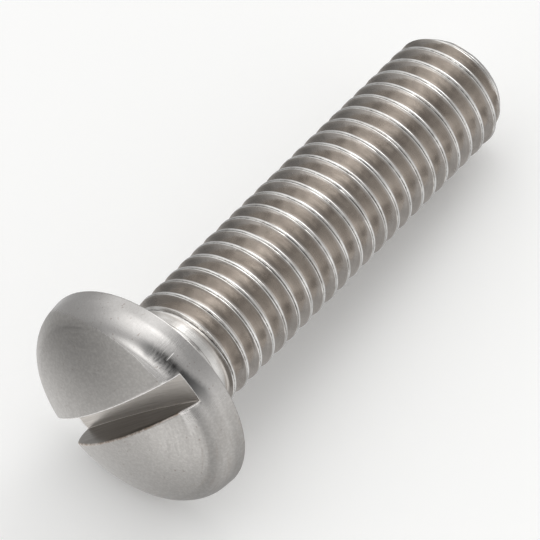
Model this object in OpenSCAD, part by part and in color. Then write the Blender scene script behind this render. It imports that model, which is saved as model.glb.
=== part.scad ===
// Slotted pan head machine screw, fully threaded, one solid piece of stainless steel.
// It lies on its side as it comes to rest: on the rim of the head and on a thread crest near the tip.
// The long axis runs along +X from the head to the tip, with the tip a little lower.

/* [Head] */
// Diameter of the head at its bearing face
head_d = 9.2; // [6:0.05:12]
// Height of the head from the bearing face to the top of the crown
head_h = 2.1; // [1.4:0.05:4]
// Radius of the shallow crown
crown_r = 10.7; // [6:0.1:30]
// Radius of the rounded edge round the crown
edge_r = 1.15; // [0.4:0.05:1.6]
// Draft of the side of the head in degrees
side_draft = 5; // [1:0.5:12]

/* [Slot] */
// Width of the driver slot
slot_w = 1.2; // [0.6:0.05:2]
// Depth of the slot below the crown, on the axis
slot_t = 1.68; // [0.8:0.02:2]
// Diameter of the saw whose sweep leaves the bowed slot floor
saw_d = 87; // [40:1:200]
// Sideways distance of the saw's centre from the axis, which leaves one end of the slot deeper
saw_off = 4.2; // [0:0.1:8]

/* [Thread] */
// Diameter over the thread crests
major_d = 4.92; // [4:0.02:5.4]
// Distance from one crest to the next
pitch = 0.8; // [0.7:0.05:1]
// Depth from crest to root
thread_h = 0.49; // [0.3:0.01:0.55]
// Width of the crest as a share of the pitch
crest_share = 0.17; // [0.1:0.01:0.25]
// Length from the bearing face to the tip
screw_len = 20; // [12:0.5:22]
// Diameter of the plain neck between the head and the first crest
neck_d = 4.5; // [4:0.05:4.8]
// Height above the bearing face where the ridge starts to rise
runout_z = 1.96; // [1.2:0.02:2.4]

/* [Tip and neck] */
// Length of the chamfer at the tip
tip_len = 0.6; // [0.2:0.05:1]
// Diameter of the flat end
tip_d = 4.05; // [3:0.05:4.4]
// Radius of the fillet under the head
neck_r = 0.35; // [0.1:0.05:0.5]

/* [Lie] */
// Turn of the slot about the long axis, in degrees
slot_turn = -141.6; // [-180:0.1:180]
// Turn of the thread start against the slot, in degrees
thread_turn = 248.3; // [0:0.1:360]

/* [Hidden] */

// circle of the rounded edge, tangent to the crown and to the drafted side
side_n = [cos(side_draft), sin(side_draft)];
side_t = [-sin(side_draft), cos(side_draft)];
edge_o = [head_d / 2, 0] - edge_r * side_n;
crown_c = [0, head_h - crown_r];
edge_b = (edge_o - crown_c) * side_t;
edge_q = (edge_o - crown_c) * (edge_o - crown_c) - pow(crown_r - edge_r, 2);
edge_c = edge_o + (sqrt(edge_b * edge_b - edge_q) - edge_b) * side_t;
side_p = edge_c + edge_r * side_n;
crown_n = (edge_c - crown_c) / (crown_r - edge_r);
crown_p = crown_c + crown_r * crown_n;

// thread grid: columns of steps round the axis, each with five points up one pitch
seg = 30;
crest_w = crest_share / 2;
root_w = 0.125;
form = [
  [0.035 - crest_w, -0.12, 0], [crest_w - 0.035, -0.12, 0],
  [0.5 - root_w, 0.88, 0.5], [0.5, 1, 0.5], [0.5 + root_w, 0.88, 0.5],
  [1.035 - crest_w, -0.12, 1]
];
// height of the first crest column, inside the neck, and the radius it starts from
helix_0 = pitch * (thread_turn / 360 + ceil(0.5 / pitch - thread_turn / 360));
start_r = neck_d / 2 - 0.06;
turns = ceil((screw_len - helix_0) / pitch + 0.3);
steps = turns * seg;
n_rows = 5 * (steps + 1);

function ramp(z) = min(1, max(0, (z - runout_z) / (0.28 * pitch)));
function step_z(i) = helix_0 + pitch * i / seg;
function thread_r(i, f) =
  let (g = ramp(step_z(i) + pitch * f[2]))
  start_r + g * (major_d / 2 - thread_h * f[1] - start_r);
function thread_p(i, f) =
  let (r = thread_r(i, f), a = 360 * i / seg)
  [r * cos(a), r * sin(a), step_z(i) + pitch * f[0]];
function ring_p(i, r, z) = [r * cos(360 * i / seg), r * sin(360 * i / seg), z];

// indices of a grid point and of the points of the two end rings
function at(i, j) = j < 5 ? 5 * i + j : (i + seg <= steps ? 5 * (i + seg) : n_rows + i - (steps - seg + 1));
function lo(i) = n_rows + seg + i % seg;
function hi(i) = n_rows + 2 * seg + i % seg;

thread_pts = [
  for (i = [0:steps]) for (j = [0:4]) thread_p(i, form[j]),
  for (i = [steps - seg + 1:steps]) thread_p(i, form[5]),
  for (i = [0:seg - 1]) ring_p(i, start_r, step_z(0) - 0.3 * pitch),
  for (i = [0:seg - 1]) ring_p(i, major_d / 2, step_z(steps) + 1.3 * pitch)
];
thread_faces = [
  for (i = [0:steps - 1]) for (j = [0:4]) each
    [[at(i, j), at(i, j + 1), at(i + 1, j)], [at(i + 1, j), at(i, j + 1), at(i + 1, j + 1)]],
  for (i = [0:seg - 2]) each
    [[lo(i), at(i, 0), lo(i + 1)], [lo(i + 1), at(i, 0), at(i + 1, 0)]],
  [lo(seg - 1), at(seg - 1, 0), lo(0)],
  [lo(0), at(seg - 1, 0), at(0, 0)],
  for (j = [0:4]) [at(0, j), at(seg - 1, 0), at(0, j + 1)],
  for (i = [steps - seg + 1:steps - 1]) each
    [[at(i, 5), hi(i), at(i + 1, 5)], [at(i + 1, 5), hi(i), hi(i + 1)]],
  for (j = [0:4]) [at(steps, j), at(steps, j + 1), at(steps - seg + 1, 5)],
  [at(steps, 5), hi(0), at(steps - seg + 1, 5)],
  [at(steps - seg + 1, 5), hi(0), hi(1)],
  [for (i = [0:seg - 1]) lo(i)],
  [for (i = [0:seg - 1]) hi(seg - 1 - i)]
];

// tilt of the lying screw, from the rim of the head down to the last full crest
lie_turn = (thread_turn - slot_turn) / 360;
last_crest = pitch * (floor((screw_len - tip_len) / pitch - crest_w - lie_turn) + lie_turn + crest_w);
lie_tilt = atan((head_d - major_d) / 2 / last_crest);
// ends of the lying screw along X, from the centre of the bearing face
crown_x = (crown_r - head_h) * cos(lie_tilt) - crown_r;
tip_x = screw_len * cos(lie_tilt) + tip_d / 2 * sin(lie_tilt);

// crown disc and drafted side, their corner cut back and rounded by a circle that stands a touch
// proud of both, so the crown ends in the faint crease that a heading die leaves
module head_profile()
{
  intersection()
  {
    translate(crown_c) circle(r = crown_r);
    polygon([[0, 0], [head_d / 2, 0], [head_d / 2 - (head_h + 1) * tan(side_draft), head_h + 1], [0, head_h + 1]]);
    union()
    {
      polygon([[0, -1], [head_d / 2 + 1, -1], [head_d / 2 + 1, 0], side_p + side_n / 2, edge_c,
        crown_p + crown_n / 2, [0, head_h + 1]]);
      translate(edge_c) circle(r = edge_r + 0.01);
    }
  }
}

// head, fillet and neck are one turned form; the neck ends in a short cone where the valleys begin
module blank()
{
  rotate_extrude()
  {
    mirror([0, 1]) head_profile();
    difference()
    {
      translate([0, -0.2]) square([neck_d / 2 + neck_r, neck_r + 0.2]);
      translate([neck_d / 2 + neck_r, neck_r]) circle(r = neck_r + 0.02);
    }
    polygon([[0, -0.2], [neck_d / 2, -0.2], [neck_d / 2, runout_z - 0.06], [neck_d / 2 - 0.36, runout_z + 0.2],
      [0, runout_z + 0.2]]);
  }
}

module thread_body()
{
  intersection()
  {
    polyhedron(points = thread_pts, faces = thread_faces, convexity = 12);
    rotate_extrude() polygon([[0, -3], [major_d / 2, -3], [major_d / 2, screw_len - tip_len],
      [tip_d / 2, screw_len], [0, screw_len]]);
  }
}

// the saw that cut the slot: its lowest point lies off the axis, so the floor is bowed and slopes
module slot_saw()
{
  drop = sqrt(pow(saw_d / 2, 2) - saw_off * saw_off);
  translate([-saw_off, 0, slot_t - head_h - drop]) rotate([90, 0, 0])
    cylinder(h = slot_w, r = saw_d / 2, center = true);
}

module screw()
{
  color("#b9b7b3") translate([-(crown_x + tip_x) / 2, 0, head_d / 2 * cos(lie_tilt)])
    rotate([0, 90 + lie_tilt, 0]) rotate([0, 0, slot_turn]) difference()
    {
      union()
      {
        blank();
        thread_body();
      }
      slot_saw();
    }
}

screw();
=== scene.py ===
import math

import bmesh
import bpy
from mathutils import Matrix, Vector, noise


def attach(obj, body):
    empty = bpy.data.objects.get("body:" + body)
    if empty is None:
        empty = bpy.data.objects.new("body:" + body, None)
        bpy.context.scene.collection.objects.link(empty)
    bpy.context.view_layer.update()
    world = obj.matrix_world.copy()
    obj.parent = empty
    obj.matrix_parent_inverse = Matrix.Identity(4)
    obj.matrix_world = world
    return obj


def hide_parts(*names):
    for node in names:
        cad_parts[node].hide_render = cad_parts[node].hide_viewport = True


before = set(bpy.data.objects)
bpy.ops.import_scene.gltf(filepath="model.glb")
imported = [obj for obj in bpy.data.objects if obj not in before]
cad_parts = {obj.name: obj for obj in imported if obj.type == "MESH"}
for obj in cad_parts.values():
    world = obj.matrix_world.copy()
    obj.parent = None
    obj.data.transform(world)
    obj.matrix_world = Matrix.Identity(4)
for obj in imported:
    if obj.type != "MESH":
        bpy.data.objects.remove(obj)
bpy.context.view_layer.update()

mm = 0.001
# the parts of the screw's surface, in the order of its materials
partNames = ("crown", "edge", "side", "thread", "neck", "bearing", "wall", "slotFloor", "tip", "lip")
part = {name: number for number, name in enumerate(partNames)}

lie = {
    "slotTurn": -141.6,   # degrees about the screw's own axis
    "threadTurn": 248.3,
    "contact": 19.3344,   # height of the crest that touches the floor
    "tipEdge": 2.025,     # radius of the solid's flat end, its lowest reach along X
}
head = {
    # sizes in mm
    "radius": 4.6, "height": 2.1, "crownRadius": 10.7, "edgeRadius": 1.15, "draft": 5.0,
    "slotWidth": 1.2, "slotDepth": 1.68, "sawRadius": 43.5, "sawOff": 4.2,
    "rimRound": 0.035, "rimIn": 0.9, "lipRound": 0.06, "foot": 0.05,
    "burr": 0.045, "burrFrom": 3.2, "burrTo": 4.3, "burrRamps": (0.3, 0.2),
    # where the lip's round starts to lean with the rounded edge, and over how far
    "leanFrom": 1.2, "leanRun": 1.5,
    # rows and columns of the mesh
    "columns": 108, "innerRing": 1.1,
    "capRows": 8, "crownRows": 26, "edgeRows": 30, "sideRows": 12, "rimRows": 4,
    "bearingRings": (4.3, 3.8, 3.2, 2.8), "filletRows": 12, "slotColumns": 6,
}
thread = {
    # sizes in mm, but crest sizes along the axis and columns are shares of the pitch
    "crest": 2.46, "root": 1.97, "pitch": 0.8, "neck": 2.25, "filletRadius": 0.35,
    "start": 1.96, "rise": 0.3, "tipLength": 0.6, "tipRadius": 2.03, "length": 20.0,
    "crestHalf": 0.135, "flankSlope": 1.95, "rootSoft": 0.035,
    "furrowDepth": 0.075, "furrowHalf": 0.027, "furrowCentre": -0.02, "chamferFurrow": 3.0,
    "lipDrop": 0.03, "lipStep": 0.006, "tear": 0.008,
    "lipStart": {1: 0.085, -1: 0.095},   # the lip on the tip's side is rounder
    "scoreDepth": 0.016, "scoreWidth": 0.1,   # faint first mark of the die on the neck
    "perTurn": 96, "crestColumns": (0.010, 0.022, 0.036, 0.055, 0.08, 0.11), "valleyColumns": 13,
    "gridStart": 0.2, "neckRow": 0.55, "joint": 0.8, "tipRing": 0.93,
}


def lyingMatrix():
    # screw's own frame (mm, z from the bearing face to the tip) to the lying frame (m)
    tilt = math.atan((head["radius"] - thread["crest"]) / lie["contact"])
    crownX = (head["crownRadius"] - head["height"]) * math.cos(tilt) - head["crownRadius"]
    tipX = thread["length"] * math.cos(tilt) + lie["tipEdge"] * math.sin(tilt)
    place = Vector((-(crownX + tipX) / 2, 0, head["radius"] * math.cos(tilt)))
    slotTurn = Matrix.Rotation(math.radians(lie["slotTurn"]), 4, "Z")
    turn = Matrix.Rotation(math.pi / 2 + tilt, 4, "Y") @ slotTurn
    return Matrix.Scale(mm, 4) @ Matrix.Translation(place) @ turn


toWorld = lyingMatrix()
print("lying matrix ready")


def headOutline():
    # points (r, z, part) from the crown outwards and down to the rim, z negative above the bearing face
    h = head
    draft = math.radians(h["draft"])
    sideN = Vector((math.cos(draft), math.sin(draft)))
    sideT = Vector((-math.sin(draft), math.cos(draft)))
    origin = Vector((h["radius"], 0)) - h["edgeRadius"] * sideN
    crownC = Vector((0, h["height"] - h["crownRadius"]))
    b = (origin - crownC).dot(sideT)
    q = (origin - crownC).length_squared - (h["crownRadius"] - h["edgeRadius"]) ** 2
    edgeC = origin + (math.sqrt(b * b - q) - b) * sideT
    crownN = (edgeC - crownC) / (h["crownRadius"] - h["edgeRadius"])
    aCrown = math.atan2(crownN.x, crownN.y)
    aSide = math.pi / 2 - draft
    aStart = math.asin(h["innerRing"] / h["crownRadius"])
    points = []
    for i in range(h["crownRows"]):
        a = aStart + (aCrown - aStart) * i / h["crownRows"]
        r = h["crownRadius"] * math.sin(a)
        points.append((r, -(crownC.y + h["crownRadius"] * math.cos(a)), part["crown"]))
    for i in range(h["edgeRows"] + 1):
        a = aCrown + (aSide - aCrown) * i / h["edgeRows"]
        r = edgeC.x + h["edgeRadius"] * math.sin(a)
        points.append((r, -(edgeC.y + h["edgeRadius"] * math.cos(a)), part["edge"]))
    endR, endZ = h["radius"] - math.sin(draft) * h["rimRound"], -h["rimRound"]
    last = points[-1]
    for i in range(1, h["sideRows"] + 1):
        t = i / h["sideRows"]
        points.append((last[0] + (endR - last[0]) * t, last[1] + (endZ - last[1]) * t, part["side"]))
    for i in range(1, h["rimRows"] + 1):
        a = math.pi / 2 * i / h["rimRows"]
        r = endR - h["rimRound"] * (1 - math.cos(a)) * h["rimIn"]
        points.append((r, -h["rimRound"] * (1 - math.sin(a)), part["side"]))
    return points


def underRows():
    # rows (r, z, part) from the rim over the bearing face and the fillet down the neck
    t = thread
    rows = [(r, 0.0, part["bearing"]) for r in head["bearingRings"]]
    centre = t["neck"] + t["filletRadius"]
    for i in range(head["filletRows"] + 1):
        a = math.pi / 2 * i / head["filletRows"]
        r = centre - t["filletRadius"] * math.sin(a)
        rows.append((r, t["filletRadius"] * (1 - math.cos(a)), part["neck"]))
    return rows + [(t["neck"], z, part["neck"]) for z in (t["neckRow"], t["joint"])]


def slotFloor(x):
    h = head
    drop = math.sqrt(h["sawRadius"] ** 2 - h["sawOff"] ** 2)
    return h["slotDepth"] - h["height"] - drop + math.sqrt(h["sawRadius"] ** 2 - (x + h["sawOff"]) ** 2)


def crownZ(x, y):
    h = head
    return -(h["height"] - h["crownRadius"] + math.sqrt(h["crownRadius"] ** 2 - x * x - y * y))


def cutRow(points, side):
    # the outline's own point where the slot floor leaves the head, at x > 0 or x < 0
    edge = head["slotWidth"] / 2 + head["lipRound"]
    for i in range(len(points) - 1):
        a, b = points[i], points[i + 1]
        xa, xb = (side * math.sqrt(max(p[0] ** 2 - edge ** 2, 0)) for p in (a, b))
        ga, gb = a[1] - slotFloor(xa), b[1] - slotFloor(xb)
        if ga < 0 <= gb:
            t = ga / (ga - gb)
            return i + 1, (a[0] + (b[0] - a[0]) * t, a[1] + (b[1] - a[1]) * t, b[2])


class MeshMaker:
    # collects points and faces with a material number, in the screw's own frame

    def __init__(self):
        self.points, self.faces, self.mats = [], [], []

    def face(self, corners, mat):
        self.faces.append(corners)
        self.mats.append(mat)

    def grid(self, rows, mat, flip=False):
        start = len(self.points)
        wide = len(rows[0])
        for row in rows:
            self.points.extend(row)
        for i in range(len(rows) - 1):
            for j in range(wide - 1):
                a = start + i * wide + j
                b, c, d = a + 1, a + wide + 1, a + wide
                self.face((a, b, c, d) if flip else (d, c, b, a), mat[i] if isinstance(mat, list) else mat)

    def pour(self, bm):
        verts = [bm.verts.new(q) for q in self.points]
        for corners, mat in zip(self.faces, self.mats):
            bm.faces.new([verts[k] for k in corners]).material_index = mat
        return verts


def softStep(value):
    value = min(1, max(0, value))
    return value * value * (3 - 2 * value)


def crestDrop(f, turn):
    # rolled metal meets over the crest in two round lips with a torn furrow between them
    t = thread
    centre = t["furrowCentre"] + 0.012 * noise.noise(Vector((turn * 5.0, 1.7, 6.2)))
    deep = t["furrowDepth"] * (1 + 0.9 * noise.noise(Vector((turn * 9.0, 3.1, 0.2))))
    k = (f - centre) / t["furrowHalf"]
    tear = t["tear"] * noise.noise(Vector((turn * 70.0, f * 25.0, 2.2)))
    lip = 0.010 * (0.5 + noise.noise(Vector((turn * 23.0, 7.7 + (4 if f > 0 else 0), 1.4))))
    inner = t["lipStart"][1 if f > 0 else -1]
    rounded = max(0, abs(f) - inner) / (t["crestHalf"] - inner)
    return max(0, deep) * math.exp(-k * k) + lip + abs(tear) + t["lipDrop"] * rounded ** 2


def threadRadius(z, f, turn):
    # radius at height z, where f is the distance from the nearest crest as a share of the pitch
    t = thread
    p = t["pitch"]
    rise = softStep((z - t["start"]) / (t["rise"] * p))
    d = abs(f)
    # on the chamfer the ridge is lower and wider, and its lips stand further apart
    tipCone = t["tipRadius"] + (t["length"] - z) * (t["crest"] - t["tipRadius"]) / t["tipLength"]
    low = max(0, t["crest"] - tipCone)
    half = t["crestHalf"] + low / (p * t["flankSlope"])
    if d <= half:
        drop = crestDrop(f * t["crestHalf"] / half, turn)
        r = t["crest"] - low - drop * (1 + t["chamferFurrow"] * low)
    else:
        # straight flank that runs into a round root
        flank = low + t["lipDrop"] + t["lipStep"] + (d - half) * p * t["flankSlope"]
        bottom = t["crest"] - t["root"]
        r = t["crest"] - flank + t["rootSoft"] * math.log(1 + math.exp((flank - bottom) / t["rootSoft"]))
    score = t["scoreDepth"] * math.exp(-(d / t["scoreWidth"]) ** 2) * softStep((z - 1.0) / 0.5)
    return t["neck"] + score * (1 - rise) + rise * (r - t["neck"])


def addThread(maker):
    # helical grid: perTurn steps round the axis, columns up one pitch, closer across the crest
    t = thread
    p, n, k = t["pitch"], t["perTurn"], t["valleyColumns"]
    phase = lie["threadTurn"] / 360
    half = [*t["crestColumns"], t["crestHalf"]]
    columns = [-v for v in reversed(half)] + half
    columns += [t["crestHalf"] + (1 - 2 * t["crestHalf"]) * (j + 1) / (k + 1) for j in range(k)]
    m = len(columns)
    first = math.floor((t["gridStart"] - p) / p - phase)
    turns = math.ceil((t["length"] - first * p) / p) + 1
    steps = (turns + 1) * n
    for i in range(steps):
        turn = first + phase + i / n
        a = 2 * math.pi * i / n
        for f in columns:
            z = (turn + f) * p
            r = threadRadius(z, f if f <= 0.5 else f - 1, turn if f <= 0.5 else turn + 1)
            maker.points.append((r * math.cos(a), r * math.sin(a), z))
    for i in range(steps - 1):
        for j in range(m):
            a = i * m + j
            b = a + m
            # the last column joins the first one of the next turn
            if j < m - 1:
                maker.face((a, b, b + 1, a + 1), part["thread"])
            elif i + 1 + n < steps:
                maker.face((a, b, (i + 1 + n) * m, (i + n) * m), part["thread"])


def cutThread(bm, height, **side):
    geom = bm.verts[:] + bm.edges[:] + bm.faces[:]
    bmesh.ops.bisect_plane(bm, geom=geom, dist=1e-6, plane_co=(0, 0, height), plane_no=(0, 0, 1), **side)


def buildThread():
    maker = MeshMaker()
    addThread(maker)
    bm = bmesh.new()
    maker.pour(bm)
    cutThread(bm, thread["joint"], clear_inner=True)
    cutThread(bm, thread["length"], clear_outer=True)
    bmesh.ops.delete(bm, geom=[v for v in bm.verts if not v.link_faces], context="VERTS")
    # flat end
    end = thread["length"] - 1e-4
    rim = [e for e in bm.edges if e.is_boundary and min(v.co.z for v in e.verts) > end]
    made = bmesh.ops.extrude_edge_only(bm, edges=rim)["geom"]
    for v in (g for g in made if isinstance(g, bmesh.types.BMVert)):
        v.co.x *= thread["tipRing"]
        v.co.y *= thread["tipRing"]
    edges = [g for g in made if isinstance(g, bmesh.types.BMEdge) and g.is_boundary]
    bmesh.ops.contextual_create(bm, geom=edges, mat_nr=part["tip"], use_smooth=True)
    for f in bm.faces:
        if min(v.co.z for v in f.verts) > end:
            f.material_index = part["tip"]
    return bm


def burrRise(x):
    # the saw pushed up a burr where it came out of the far lip
    h = head
    before, after = h["burrRamps"]
    return h["burr"] * softStep((x - h["burrFrom"]) / before) * softStep((h["burrTo"] - x) / after)


class HeadMesh:
    # the head round its slot, with the bearing face, fillet and neck below it

    def __init__(self):
        self.maker = MeshMaker()
        self.half = head["slotWidth"] / 2
        self.lip = head["lipRound"]
        self.edge = self.half + self.lip
        self.bow = 1 - math.sqrt(0.5)   # how far the middle of the lip's round lies inside its corner
        self.outline = headOutline()
        right, rightPoint = cutRow(self.outline, 1)
        self.outline.insert(right, rightPoint)
        left, leftPoint = cutRow(self.outline, -1)
        self.outline.insert(left, leftPoint)
        if left <= right:
            right += 1
        self.exits = {1: right, -1: left}
        self.exitRadius = {1: rightPoint[0], -1: leftPoint[0]}
        self.under = underRows()
        self.rimRadius = self.outline[-1][0]
        self.around = [j / head["columns"] for j in range(head["columns"] + 1)]
        self.across = [v / head["slotColumns"] for v in range(-head["slotColumns"], head["slotColumns"] + 1)]

    def angle(self, r, w):
        a = math.asin(self.edge / r)
        return a + w * (math.pi - 2 * a)

    def exitX(self, side, v, depth):
        return side * (math.sqrt(self.exitRadius[side] ** 2 - (self.edge * v) ** 2) - depth)

    def addSides(self):
        for sign in (1, -1):
            rows, mats = [], []
            for r, z, mat in self.outline:
                angles = [self.angle(r, w) for w in self.around]
                rows.append([(r * math.cos(a), sign * r * math.sin(a), z) for a in angles])
                mats.append(mat)
            angles = [self.angle(self.rimRadius, w) for w in self.around]
            for r, z, mat in self.under:
                rows.append([(r * math.cos(a), sign * r * math.sin(a), z) for a in angles])
                mats.append(mat)
            self.maker.grid(rows, mats[1:], flip=sign < 0)
            self.addCap(sign)

    def addCap(self, sign):
        # crown between the slot's lip and the innermost ring
        r0, edge = self.outline[0][0], self.edge
        x0 = math.sqrt(r0 * r0 - edge * edge)
        rows = []
        for k in range(head["capRows"] + 1):
            s = k / head["capRows"]
            row = []
            for w in self.around:
                a = self.angle(r0, w)
                cx = x0 * math.cos(math.pi * w)
                x = cx + (r0 * math.cos(a) - cx) * s
                y = edge + (r0 * math.sin(a) - edge) * s
                row.append((x, sign * y, crownZ(x, y)))
            rows.append(row)
        self.maker.grid(rows, part["crown"], flip=sign < 0)

    def addSlotEnds(self):
        # strips of the head's side under the two ends of the slot
        edge, rim = self.edge, self.rimRadius
        for side, index in self.exits.items():
            below = self.outline[index:]
            top, bottom = below[0][1], below[-1][1]
            rows, mats = [], []
            for r, z, mat in below:
                k = (z - top) / (bottom - top)
                row = []
                for v in self.across:
                    y = edge * v
                    x = side * math.sqrt(r * r - y * y)
                    lift = (slotFloor(x) - slotFloor(side * math.sqrt(r * r - edge * edge))) * (1 - k)
                    row.append((x, y, z + lift))
                rows.append(row)
                mats.append(mat)
            for r, z, mat in self.under:
                rows.append([(side * r * math.cos(math.asin(edge * v / rim)), r * edge * v / rim, z)
                             for v in self.across])
                mats.append(mat)
            self.maker.grid(rows, mats[1:], flip=side < 0)

    def lipPoints(self):
        # from one exit to the other: head surface point (x, z) and the direction (x, z) into the metal
        edge = self.edge
        found = []
        for side, index in self.exits.items():
            points = []
            for i in range(index + 1):
                r, z = self.outline[i][0], self.outline[i][1]
                before, after = self.outline[max(i - 1, 0)], self.outline[i + 1]
                run = Vector((after[0] - before[0], after[1] - before[1])).normalized()
                x = side * math.sqrt(r * r - edge * edge)
                lean = softStep((abs(x) - head["leanFrom"]) / head["leanRun"])
                points.append((x, z, -side * run.y * lean, run.x) if i < index else (x, z, -side, 0.0))
            found.append(points)
        x0 = found[0][0][0]
        middle = []
        for k in range(1, head["columns"]):
            x = x0 * math.cos(math.pi * k / head["columns"])
            middle.append((x, crownZ(x, edge), 0.0, 1.0))
        return list(reversed(found[0])) + middle + found[1]

    def addLips(self):
        # rounded lips: out on the head, half-way and in on the wall, with the wall below
        half, lip, bow = self.half, self.lip, self.bow
        points = self.lipPoints()
        rows = {sign: [[], [], []] for sign in (1, -1)}
        self.inner = []
        for i, (x, z, nx, nz) in enumerate(points):
            onFloor = i in (0, len(points) - 1)
            xi, xm = x + nx * lip, x + nx * lip * bow
            zi = slotFloor(xi) if onFloor else min(z + nz * lip, slotFloor(xi))
            zm = slotFloor(xm) if onFloor else z + nz * lip * bow
            self.inner.append((xi, zi))
            for sign in (1, -1):
                rise = burrRise(x) if sign > 0 and not onFloor else 0
                rows[sign][0].append((x, sign * self.edge, z))
                rows[sign][1].append((xm - nx * rise, sign * (half + lip * bow), zm - nz * rise))
                rows[sign][2].append((xi, sign * half, zi))
        for sign in (1, -1):
            self.maker.grid(rows[sign], part["lip"], flip=sign > 0)
            self.addWall(sign)

    def addWall(self, sign):
        # the last row is a narrow one along the foot, in the lip's finish with its painted highlight
        rows = []
        for k in range(7):
            row = []
            for x, top in self.inner:
                deep = slotFloor(x) - top
                foot = max(0.8, 1 - head["foot"] / max(deep, 1e-4))
                s = (0, 0.2, 0.4, 0.6, 0.75, foot, 1)[k]
                row.append((x, sign * self.half, top + deep * s))
            rows.append(row)
        self.maker.grid(rows, [part["wall"]] * 5 + [part["lip"]], flip=sign > 0)

    def addFloor(self):
        lip, half = self.lip, self.half
        rows = []
        for v in self.across:
            row = []
            for x, top in self.inner:
                side = 1 if x > 0 else -1
                grow = self.exitX(side, v, lip) / self.exitX(side, 1, lip)
                g = 1 + (grow - 1) * (x / self.exitX(side, 1, lip)) ** 6
                row.append((x * g, half * v, slotFloor(x * g)))
            rows.append(row)
        self.maker.grid(rows, part["slotFloor"], flip=True)

    def addExits(self):
        # rounds where the floor runs out through the side of the head
        half, lip, bow = self.half, self.lip, self.bow
        for side in (1, -1):
            rows = []
            for depth, wide in ((0, self.edge), (lip * bow, half + lip * bow), (lip, half)):
                xs = [self.exitX(side, v, depth) for v in self.across]
                rows.append([(x, wide * v, slotFloor(x)) for x, v in zip(xs, self.across)])
            self.maker.grid(rows, part["lip"], flip=side > 0)


def buildScrew():
    bm = buildThread()
    made = HeadMesh()
    made.addSides()
    made.addSlotEnds()
    made.addLips()
    made.addFloor()
    made.addExits()
    bmesh.ops.remove_doubles(bm, verts=made.maker.pour(bm), dist=2e-4)
    bmesh.ops.dissolve_degenerate(bm, edges=bm.edges[:], dist=1e-5)
    # neck and thread meet at one height
    loops = [e for e in bm.edges if e.is_boundary]
    joint = [e for e in loops if all(abs(v.co.z - thread["joint"]) < 1e-3 for v in e.verts)]
    bmesh.ops.bridge_loops(bm, edges=joint)
    bmesh.ops.recalc_face_normals(bm, faces=bm.faces[:])
    print("open edges:", sum(1 for e in bm.edges if e.is_boundary), "faces:", len(bm.faces))
    mesh = bpy.data.meshes.new("pan_head_screw")
    bm.to_mesh(mesh)
    bm.free()
    mesh.transform(toWorld)
    obj = bpy.data.objects.new("pan_head_screw", mesh)
    bpy.context.scene.collection.objects.link(obj)
    mesh.polygons.foreach_set("use_smooth", [True] * len(mesh.polygons))
    mesh.set_sharp_from_angle(angle=math.radians(38))
    return obj


screw = buildScrew()
print("screw mesh", len(screw.data.vertices), "points")

finish = {
    # colours are linear; roughness from 0, mirror, to 1, matt
    "crownColor": (0.525, 0.508, 0.487), "crownRough": 0.40,
    "edgeColor": (0.58, 0.565, 0.55), "edgeRough": 0.13,
    # on the next line, the last two numbers set how strongly painted shade darkens the valley behind each
    # crest and the crest's furrow
    "valleyColor": (0.585, 0.545, 0.505), "valleyRough": 0.21, "blotch": 0.38, "shadeSpots": 0.55, "furrowShade": 0.8,
    # the crest colour on the next line is a painted sheen on the burnished lips
    "crestSheenColor": (0.86, 0.85, 0.83), "crestRough": 0.14,
    "neckColor": (0.63, 0.61, 0.59), "neckRough": 0.15,
    # the slot's wall and floor are one sawn steel: the wall's colour is painted shade, the floor's painted
    # light
    "shadedWallColor": (0.32, 0.295, 0.27), "litFloorColor": (0.69, 0.65, 0.605), "slotRough": 0.34,
    "tipColor": (0.55, 0.54, 0.52), "tipRough": 0.34,
    # the lip colour on the next line is a painted highlight on the slot's edges
    "lipHighlightColor": (1.0, 0.98, 0.96), "lipRough": 0.5, "burrRough": 0.7, "tornColor": (0.46, 0.38, 0.31),
    # where the marks lie, in mm in the screw's own frame; arc is radius plus z
    "polishCentre": (-0.77, -0.23), "polishRadius": 4.25, "polishEnd": (0.2, 1.9),
    "nickTangent": (0.307, 0.952), "nickFrom": (-1.10, -1.04), "nickTo": (-0.78, -0.70),
    # the next two lines place a dark reflection painted on the burnished edge
    "darkReflection": 0.8, "darkReflectionArc": 3.38, "darkReflectionSlope": 0.32, "darkReflectionLeast": 3.06, "darkReflectionHalf": (0.14, 0.50),
    "darkReflectionFrom": (-2.7, -1.6), "darkReflectionTo": (-0.2, 1.2),
    "spotsPerTurn": 7, "spotsTurn": -4.82, "neckLine": 1.575, "plainEnd": (1.75, 2.1),
}


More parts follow.
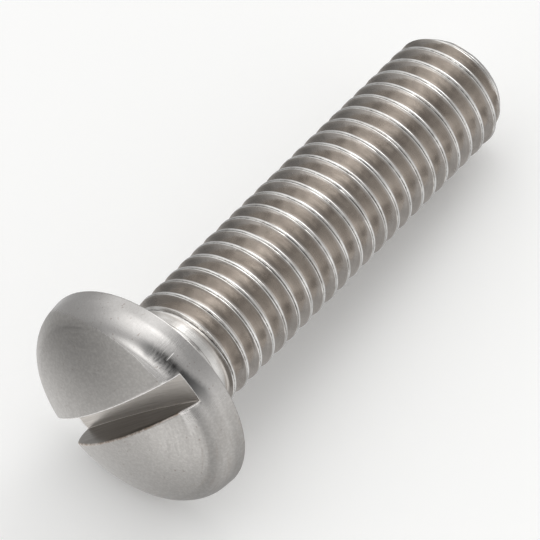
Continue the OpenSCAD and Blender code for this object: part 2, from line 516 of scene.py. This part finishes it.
class Nodes:
    # short calls that add and wire shader nodes

    def __init__(self, tree):
        self.tree = tree

    def add(self, kind, **props):
        node = self.tree.nodes.new(kind)
        for name, value in props.items():
            setattr(node, name, value)
        return node

    def put(self, socket, value):
        if isinstance(value, bpy.types.NodeSocket):
            self.tree.links.new(value, socket)
        else:
            socket.default_value = value

    def math(self, operation, *values):
        node = self.add("ShaderNodeMath", operation=operation)
        for socket, value in zip(node.inputs, values):
            self.put(socket, value)
        return node.outputs[0]

    def vector(self, operation, *values):
        node = self.add("ShaderNodeVectorMath", operation=operation)
        for socket, value in zip(node.inputs, values):
            self.put(socket, value)
        return node.outputs["Value" if operation in ("LENGTH", "DOT_PRODUCT") else "Vector"]

    def join(self, x, y, z):
        node = self.add("ShaderNodeCombineXYZ")
        for socket, value in zip(node.inputs, (x, y, z)):
            self.put(socket, value)
        return node.outputs[0]

    def noise(self, place, scale, detail=2.0, rough=0.5, warp=0.0):
        node = self.add("ShaderNodeTexNoise")
        self.put(node.inputs["Vector"], place)
        for name, value in (("Scale", scale), ("Detail", detail), ("Roughness", rough), ("Distortion", warp)):
            self.put(node.inputs[name], value)
        return node.outputs[0]

    def fade(self, value, low, high, outLow=0.0, outHigh=1.0):
        node = self.add("ShaderNodeMapRange", interpolation_type="SMOOTHSTEP")
        for socket, given in zip(node.inputs, (value, low, high, outLow, outHigh)):
            self.put(socket, given)
        return node.outputs[0]

    def blend(self, factor, low, high):
        node = self.add("ShaderNodeMix", data_type="FLOAT")
        for index, value in ((0, factor), (2, low), (3, high)):
            self.put(node.inputs[index], value)
        return node.outputs[0]

    def times(self, *values):
        total = values[0]
        for value in values[1:]:
            total = self.math("MULTIPLY", total, value)
        return total

    def tint(self, factor, low, high):
        node = self.add("ShaderNodeMix", data_type="RGBA")
        for index, value in ((0, factor), (6, low), (7, high)):
            self.put(node.inputs[index], (*value, 1) if isinstance(value, tuple) else value)
        return node.outputs[2]

    def bump(self, height, strength, distance):
        node = self.add("ShaderNodeBump")
        self.put(node.inputs["Strength"], strength)
        self.put(node.inputs["Distance"], distance * mm)
        self.put(node.inputs["Height"], height)
        return node.outputs[0]


def newGroup(name, outputs):
    tree = bpy.data.node_groups.new(name, "ShaderNodeTree")
    tree.interface.new_socket("Place", in_out="INPUT", socket_type="NodeSocketVector")
    for label in outputs:
        tree.interface.new_socket(label, in_out="OUTPUT", socket_type="NodeSocketFloat")
    n = Nodes(tree)
    return n, n.add("NodeGroupInput").outputs[0], n.add("NodeGroupOutput")


def satinGroup():
    # fine grain and small pits that rolling and tumbling leave all over
    n, place, out = newGroup("satinGrain", ("Grain", "Pits", "Clouds"))
    n.put(out.inputs["Grain"], n.noise(place, 9.0, 3.0, 0.65))
    n.put(out.inputs["Pits"], n.fade(n.noise(place, 5.5, 2.0, 0.6), 0.66, 0.76))
    n.put(out.inputs["Clouds"], n.noise(place, 0.75, 3.0, 0.55, 0.4))
    return n.tree


def handlingGroup():
    # short thin scratches from lying among other screws, in two directions
    n, place, out = newGroup("handlingMarks", ("Scratches",))
    total = None
    for scale, shift in (((9.0, 0.7, 3.0), 0.0), ((1.1, 8.0, 2.0), 5.0)):
        stretched = n.vector("MULTIPLY", place, scale)
        line = n.noise(n.vector("ADD", stretched, (shift, shift, shift)), 1.6, 1.0, 0.5, 0.3)
        thin = n.fade(n.math("ABSOLUTE", n.math("SUBTRACT", line, 0.5)), 0.0, 0.012, 1.0, 0.0)
        patch = n.fade(n.noise(n.vector("ADD", place, (shift, 2.0, 1.0)), 0.8, 1.0), 0.55, 0.66)
        mark = n.math("MULTIPLY", thin, patch)
        total = mark if total is None else n.math("MAXIMUM", total, mark)
    n.put(out.inputs["Scratches"], total)
    return n.tree


satin = satinGroup()
handling = handlingGroup()


class Steel:
    # one finish: its tree, the place on the screw in the screw's own frame (mm) and the shared effects

    def __init__(self, name):
        self.material = bpy.data.materials.new(name)
        self.material.use_nodes = True
        self.n = n = Nodes(self.material.node_tree)
        self.shader = self.material.node_tree.nodes["Principled BSDF"]
        self.shader.inputs["Metallic"].default_value = 1.0
        shift, turn, scale = toWorld.inverted().decompose()
        mapping = n.add("ShaderNodeMapping")
        mapping.inputs["Location"].default_value = shift
        mapping.inputs["Rotation"].default_value = turn.to_euler()
        mapping.inputs["Scale"].default_value = scale
        n.put(mapping.inputs["Vector"], n.add("ShaderNodeTexCoord").outputs["Object"])
        self.place = mapping.outputs[0]
        split = n.add("ShaderNodeSeparateXYZ")
        n.put(split.inputs[0], self.place)
        self.x, self.y, self.z = split.outputs
        self.radius = n.vector("LENGTH", n.join(self.x, self.y, 0.0))
        grain = n.add("ShaderNodeGroup", node_tree=satin)
        n.put(grain.inputs[0], self.place)
        self.grain, self.pits, self.clouds = (grain.outputs[k] for k in ("Grain", "Pits", "Clouds"))
        marks = n.add("ShaderNodeGroup", node_tree=handling)
        n.put(marks.inputs[0], self.place)
        self.scratches = marks.outputs[0]

    def finish(self, color, rough, height, strength, distance):
        n = self.n
        n.put(self.shader.inputs["Base Color"], color)
        n.put(self.shader.inputs["Roughness"], rough)
        n.put(self.shader.inputs["Normal"], n.bump(height, strength, distance))
        return self.material


def headSteel():
    # matt crown, and round it an edge burnished off-centre
    s = Steel("headSteel")
    n = s.n
    cx, cy = finish["polishCentre"]
    away = n.vector("LENGTH", n.join(n.math("SUBTRACT", s.x, cx), n.math("SUBTRACT", s.y, cy), 0.0))
    ragged = n.math("MULTIPLY_ADD", n.math("SUBTRACT", n.noise(s.place, 2.2, 3.0), 0.5), 0.10, away)
    polish = n.fade(ragged, finish["polishRadius"] - 0.05, finish["polishRadius"] + 0.05)
    polish = n.times(polish, n.fade(s.y, *finish["polishEnd"], 1.0, 0.0))
    arc = n.math("ADD", s.radius, s.z)
    streaks = n.noise(n.join(n.times(s.x, 0.45), n.times(s.y, 0.45), n.times(arc, 5.0)), 2.0, 3.0, 0.6)
    # scuffs across the edge beside the slot, and one nick
    tx, ty = finish["nickTangent"]
    along = n.math("MULTIPLY_ADD", s.x, tx, n.times(s.y, ty))
    off = n.math("ABSOLUTE", along)
    outer = n.fade(s.x, 3.3, 3.7)
    scuffs = n.noise(n.join(n.times(along, 7.0), n.times(arc, 1.3), 2.0), 1.8, 3.0, 0.65, 0.3)
    scuffs = n.times(scuffs, n.times(n.fade(off, 0.5, 1.1, 1.0, 0.0), outer))
    nick = n.times(n.fade(s.z, *finish["nickFrom"]), n.fade(s.z, *finish["nickTo"], 1.0, 0.0))
    nick = n.times(n.fade(off, 0.008, 0.04, 1.0, 0.0), nick, outer)
    # painted dark reflection on the burnished edge, from the scuffs to just past the slot
    darkReflectionArc = n.math("MULTIPLY_ADD", s.y, finish["darkReflectionSlope"], finish["darkReflectionArc"])
    darkReflectionArc = n.math("MAXIMUM", finish["darkReflectionLeast"], darkReflectionArc)
    ripple = n.times(n.math("SUBTRACT", n.noise(s.place, 2.6, 3.0, 0.6), 0.5), 0.35)
    darkReflection = n.math("ABSOLUTE", n.math("ADD", n.math("SUBTRACT", arc, darkReflectionArc), ripple))
    darkReflection = n.times(n.fade(darkReflection, *finish["darkReflectionHalf"], 1.0, 0.0), n.fade(s.x, 3.2, 3.6))
    ends = n.times(n.fade(s.y, *finish["darkReflectionFrom"]), n.fade(s.y, *finish["darkReflectionTo"], 1.0, 0.0))
    darkReflection = n.times(darkReflection, ends, n.fade(scuffs, 0.3, 0.6, 1.0, 0.35))
    color = n.tint(polish, finish["crownColor"], finish["edgeColor"])
    color = n.tint(n.fade(s.clouds, 0.35, 0.7, 0.0, 0.10), color, (0.40, 0.38, 0.36))
    speckle = n.fade(s.grain, 0.40, 0.66, n.blend(polish, 0.30, 0.10), 0.0)
    color = n.tint(speckle, color, (0.30, 0.285, 0.27))
    rubbed = n.times(n.fade(streaks, 0.5, 0.68, 0.0, 0.22), n.fade(s.y, 1.2, 2.6))
    color = n.tint(n.times(rubbed, n.fade(s.radius, 3.2, 3.9)), color, (0.40, 0.34, 0.30))
    color = n.tint(n.times(s.pits, 0.45), color, (0.24, 0.18, 0.15))
    # the near-black tint here is the painted reflection
    color = n.tint(n.times(darkReflection, finish["darkReflection"]), color, (0.10, 0.10, 0.10))
    color = n.tint(n.times(nick, 0.3), color, (0.85, 0.84, 0.82))
    rough = n.blend(polish, finish["crownRough"], finish["edgeRough"])
    rough = n.math("ADD", rough, n.fade(streaks, 0.3, 0.7, -0.03, 0.04))
    rough = n.math("ADD", rough, n.times(scuffs, 0.12))
    scratched = n.times(s.scratches, n.blend(polish, 1.0, 0.0))
    rough = n.math("ADD", rough, n.times(scratched, 0.05))
    height = n.math("ADD", n.times(s.grain, n.blend(polish, 1.0, 0.08)),
                    n.times(streaks, n.blend(polish, 0.15, 0.35)))
    height = n.math("MULTIPLY_ADD", scuffs, 0.7, height)
    height = n.math("SUBTRACT", height, n.times(s.pits, n.blend(polish, 0.5, 0.0)))
    height = n.math("SUBTRACT", height, n.times(scratched, 0.08))
    height = n.math("SUBTRACT", height, nick)
    return s.finish(color, rough, height, 0.5, 0.012)


def threadSteel():
    # rolled flanks with soft blotches; on the crest two burnished lips painted light as sheen, and a furrow
    # painted dark as shade
    s = Steel("threadSteel")
    n = s.n
    turn = n.math("DIVIDE", n.math("ARCTAN2", s.y, s.x), 2 * math.pi)
    phase = n.math("SUBTRACT", n.math("DIVIDE", s.z, thread["pitch"]), turn)
    phase = n.math("SUBTRACT", phase, lie["threadTurn"] / 360)
    f = n.math("SUBTRACT", phase, n.math("ROUND", phase))
    plain = n.fade(s.z, *finish["plainEnd"], 1.0, 0.0)
    ragged = n.noise(s.place, 7.0, 3.0, 0.6)
    chamfer = n.math("MAXIMUM", n.math("SUBTRACT", s.z, thread["length"] - thread["tipLength"]), 0.0)
    lips = n.fade(n.math("MULTIPLY_ADD", chamfer, -0.46, n.math("ABSOLUTE", f)), 0.104, 0.126, 1.0, 0.0)
    middle = n.math("ABSOLUTE", n.math("SUBTRACT", f, thread["furrowCentre"]))
    middle = n.math("MULTIPLY_ADD", n.math("SUBTRACT", ragged, 0.5), 0.05, middle)
    furrowShade = n.times(n.fade(middle, 0.010, 0.030, 1.0, 0.0),
                     n.fade(n.noise(s.place, 1.7, 2.0), 0.30, 0.5, 0.45, 1.0))
    # rolled texture runs along the helix: the place across it goes round a circle once a pitch
    circle = n.times(f, 2 * math.pi)
    rollPlace = n.join(n.math("MULTIPLY_ADD", s.z, 0.31, n.times(s.x, 0.28)),
                       n.math("MULTIPLY_ADD", n.math("SINE", circle), 2.4, n.times(s.y, 0.28)),
                       n.times(n.math("COSINE", circle), 2.4))
    rolled = n.noise(rollPlace, 2.4, 3.0, 0.6)
    blotch = n.noise(s.place, 1.1, 3.0, 0.55, 0.5)
    # the lips and the plain neck are burnished, with less roughness, and painted lighter as sheen
    sheen = n.math("MAXIMUM", lips, n.times(plain, 0.8))
    color = n.tint(sheen, finish["valleyColor"], finish["crestSheenColor"])
    color = n.tint(n.fade(blotch, 0.42, 0.68, 0.0, finish["blotch"]), color, (0.35, 0.315, 0.285))
    color = n.tint(n.fade(rolled, 0.35, 0.65, 0.14, 0.0), color, (0.33, 0.30, 0.275))
    # painted shade darkens the crest's furrow
    color = n.tint(n.times(furrowShade, finish["furrowShade"]), color, (0.10, 0.09, 0.08))
    # soft dark spots on the tip's side of the crest: the photo shows three, seven to a turn is a guess
    # these spots are painted shade in the valley behind each crest
    angle = n.math("MULTIPLY_ADD", turn, 2 * finish["spotsPerTurn"] * math.pi, finish["spotsTurn"])
    shadeSpots = n.times(n.fade(n.math("COSINE", angle), 0.3, 1.0),
                    n.fade(n.noise(s.place, 2.6, 2.0), 0.3, 0.6, 0.35, 1.0))
    shadeSpots = n.times(shadeSpots, n.times(n.fade(f, 0.10, 0.18), n.fade(f, 0.20, 0.42, 1.0, 0.0)))
    color = n.tint(n.times(shadeSpots, finish["shadeSpots"]), color, (0.12, 0.105, 0.095))
    # fine dark line round the neck
    line = n.math("SUBTRACT", n.math("MULTIPLY_ADD", ragged, 0.03, s.z), finish["neckLine"])
    line = n.times(n.fade(n.math("ABSOLUTE", line), 0.008, 0.026, 1.0, 0.0),
                   n.fade(blotch, 0.35, 0.5, 0.4, 1.0))
    color = n.tint(n.times(line, 0.6), color, (0.12, 0.11, 0.10))
    color = n.tint(n.times(s.pits, 0.2), color, (0.25, 0.22, 0.2))
    rough = n.blend(lips, finish["valleyRough"], finish["crestRough"])
    rough = n.math("ADD", rough, n.fade(blotch, 0.35, 0.7, -0.03, 0.07))
    height = n.math("ADD", n.times(rolled, 0.4), n.times(s.grain, 0.2))
    height = n.math("ADD", height, n.times(blotch, 3.0))
    return s.finish(color, rough, height, 0.45, 0.012)


def neckSteel():
    # fillet under the head, turned round the axis
    s = Steel("neckSteel")
    n = s.n
    turned = n.noise(n.join(n.times(s.x, 0.3), n.times(s.y, 0.3), n.times(s.z, 6.0)), 2.0, 2.0, 0.6)
    color = n.tint(n.fade(turned, 0.35, 0.65, 0.15, 0.0), finish["neckColor"], (0.38, 0.35, 0.32))
    rough = n.math("ADD", n.fade(turned, 0.3, 0.7, -0.03, 0.08), finish["neckRough"])
    return s.finish(color, rough, n.math("ADD", turned, n.times(s.grain, 0.3)), 0.5, 0.012)


def slotSteel(name, upright):
    # sawn along the slot: long fine lines, with a few deeper ones
    s = Steel(name)
    n = s.n
    across = s.z if upright else s.y
    lines = n.noise(n.join(n.times(s.x, 0.22), n.times(across, 7.0), 0.5), 2.2, 4.0, 0.62)
    deep = n.fade(n.noise(n.join(n.times(s.x, 0.1), n.times(across, 3.0), 3.5), 3.0, 1.0), 0.60, 0.70)
    deep = n.times(deep, 0.25)
    # the wall's base colour is painted shade and the floor's is painted light
    base = finish["shadedWallColor" if upright else "litFloorColor"]
    dark = tuple(0.6 * c for c in base)
    color = n.tint(n.fade(lines, 0.34, 0.64, 0.3, 0.0), base, dark)
    color = n.tint(deep, color, dark)
    rough = n.math("ADD", n.fade(lines, 0.3, 0.7, 0.06, -0.05), finish["slotRough"])
    height = n.math("ADD", n.times(lines, 0.6), n.times(s.grain, 0.2))
    return s.finish(color, rough, n.math("SUBTRACT", height, deep), 0.5, 0.012)


def tipSteel():
    # sheared flat end, with a faint turned swirl
    s = Steel("tipSteel")
    n = s.n
    swirl = n.noise(n.join(n.times(s.radius, 6.0), n.times(s.x, 0.4), s.y), 1.6, 3.0, 0.6)
    color = n.tint(n.fade(swirl, 0.35, 0.65, 0.2, 0.0), finish["tipColor"], (0.33, 0.31, 0.29))
    color = n.tint(n.times(s.pits, 0.3), color, (0.22, 0.19, 0.17))
    rough = n.math("ADD", n.fade(s.clouds, 0.3, 0.7, -0.05, 0.08), finish["tipRough"])
    return s.finish(color, rough, n.math("ADD", swirl, n.times(s.grain, 0.5)), 0.6, 0.015)


def lipSteel():
    # edges that the saw left, painted near-white as highlight, and brown and torn along the lip on the far
    # side of the slot
    s = Steel("lipSteel")
    n = s.n
    ragged = n.noise(s.place, 6.0, 3.0, 0.6)
    farLip = n.fade(s.y, 0.3, 0.4)
    color = n.tint(n.fade(ragged, 0.35, 0.6, 0.3, 0.0), finish["lipHighlightColor"], (0.42, 0.39, 0.36))
    torn = n.times(farLip, n.fade(s.z, -1.10, -1.00, 1.0, 0.0), n.fade(s.x, 3.2, 3.5, 1.0, 0.0))
    color = n.tint(n.times(torn, n.fade(ragged, 0.36, 0.60, 1.0, 0.5)), color, finish["tornColor"])
    burr = n.times(n.fade(s.x, 3.2, 3.5), farLip)
    rough = n.blend(burr, finish["lipRough"], finish["burrRough"])
    return s.finish(color, rough, ragged, 0.4, 0.015)


def dressScrew():
    steels = {"crown": headSteel(), "thread": threadSteel(), "neck": neckSteel()}
    steels["edge"] = steels["side"] = steels["bearing"] = steels["crown"]
    steels["wall"] = slotSteel("slotWallSteel", True)
    steels["slotFloor"] = slotSteel("slotFloorSteel", False)
    steels["tip"] = tipSteel()
    steels["lip"] = lipSteel()
    for name in partNames:
        screw.data.materials.append(steels[name])


dressScrew()
print("finishes ready")

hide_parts("screw")
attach(screw, "root")

# What the steel mirrors: an even grey tent, with soft panels in it. A scratch program fitted 16 of the
# 18 panels to the tones in the photo, and their numbers were rounded by hand. Only tipSpot, leftBelow
# and the level of headShadeBelow were given without the fit
studio = {
    "floor": (0.90, 0.90, 0.89), "floorGlow": 0.12, "tent": 0.46,
    # azimuth (0 beyond the tip, 180 beyond the head), elevation and spread in degrees, and the
    # brightness that it adds, below 0 for a black panel
    "panels": {
        "tipWindow": (0, 25, 18, 3.8), "tipHigh": (15, 75, 12, 0.8), "tipSpot": (20, 45, 10, 1.15),
        "tipShade": (10, 45, 30, -0.6),
        "rightHigh": (50, 65, 30, 1.0), "rightLow": (55, 25, 18, 0.4), "rightBelow": (90, -55, 18, 1.0),
        "leftLow": (-80, 0, 30, 0.7), "leftBelow": (-105, -45, 25, 0.5),
        "headHigh": (135, 60, 30, 0.7), "headMiddle": (170, 20, 12, 0.6), "headLow": (165, 5, 12, 1.3),
        "headLeft": (-130, -5, 18, 0.55), "headBelow": (180, -35, 12, 2.0),
        "headCorner": (140, -50, 12, 0.6), "headShade": (-160, 50, 18, -0.55),
        "headShadeRight": (135, -20, 18, -0.35), "headShadeBelow": (-165, -45, 12, -0.3),
    },
}


def direction(azimuth, elevation):
    a, e = math.radians(azimuth), math.radians(elevation)
    return (math.cos(e) * math.cos(a), math.cos(e) * math.sin(a), math.sin(e))


def buildWorld():
    world = bpy.data.worlds.new("studioLight")
    world.use_nodes = True
    n = Nodes(world.node_tree)
    place = n.add("ShaderNodeTexCoord").outputs["Generated"]
    total = studio["tent"]
    for azimuth, elevation, spread, level in studio["panels"].values():
        facing = n.vector("DOT_PRODUCT", place, direction(azimuth, elevation))
        sharp = 1 / (1 - math.cos(math.radians(spread)))
        panel = n.math("EXPONENT", n.math("MULTIPLY_ADD", facing, sharp, -sharp))
        total = n.math("MULTIPLY_ADD", panel, level, total)
    n.put(world.node_tree.nodes["Background"].inputs["Color"], total)
    bpy.context.scene.world = world


def buildFloor():
    mesh = bpy.data.meshes.new("studio_floor")
    reach = 3.0
    corners = [(-reach, -reach, 0), (reach, -reach, 0), (reach, reach, 0), (-reach, reach, 0)]
    mesh.from_pydata(corners, [], [(0, 1, 2, 3)])
    floor = bpy.data.objects.new("studio_floor", mesh)
    bpy.context.scene.collection.objects.link(floor)
    paper = bpy.data.materials.new("studioPaper")
    paper.use_nodes = True
    shader = paper.node_tree.nodes["Principled BSDF"]
    shader.inputs["Base Color"].default_value = (*studio["floor"], 1)
    shader.inputs["Roughness"].default_value = 0.9
    shader.inputs["Emission Color"].default_value = (1, 1, 1, 1)
    shader.inputs["Emission Strength"].default_value = studio["floorGlow"]
    mesh.materials.append(paper)
    floor.visible_glossy = False   # the steel mirrors the soft tent below it too


buildFloor()
buildWorld()
bpy.context.scene.view_settings.view_transform = "Standard"
print("studio ready")

# the photo's view, fitted to its outline and to the lines of the thread; place in m, turn in degrees
view = {
    "place": (-0.095560, -0.070415, 0.172198),
    "turn": (34.9055, 0.0, -53.2405),
    "lens": 363.11, "sensor": 36, "near": 0.01, "far": 20,
}


def buildCamera():
    data = bpy.data.cameras.new("photoCamera")
    data.lens = view["lens"]
    data.sensor_width = view["sensor"]
    data.clip_start = view["near"]
    data.clip_end = view["far"]
    camera = bpy.data.objects.new("photoCamera", data)
    camera.location = view["place"]
    camera.rotation_euler = [math.radians(a) for a in view["turn"]]
    bpy.context.scene.collection.objects.link(camera)
    bpy.context.scene.camera = camera


buildCamera()
print("camera ready")
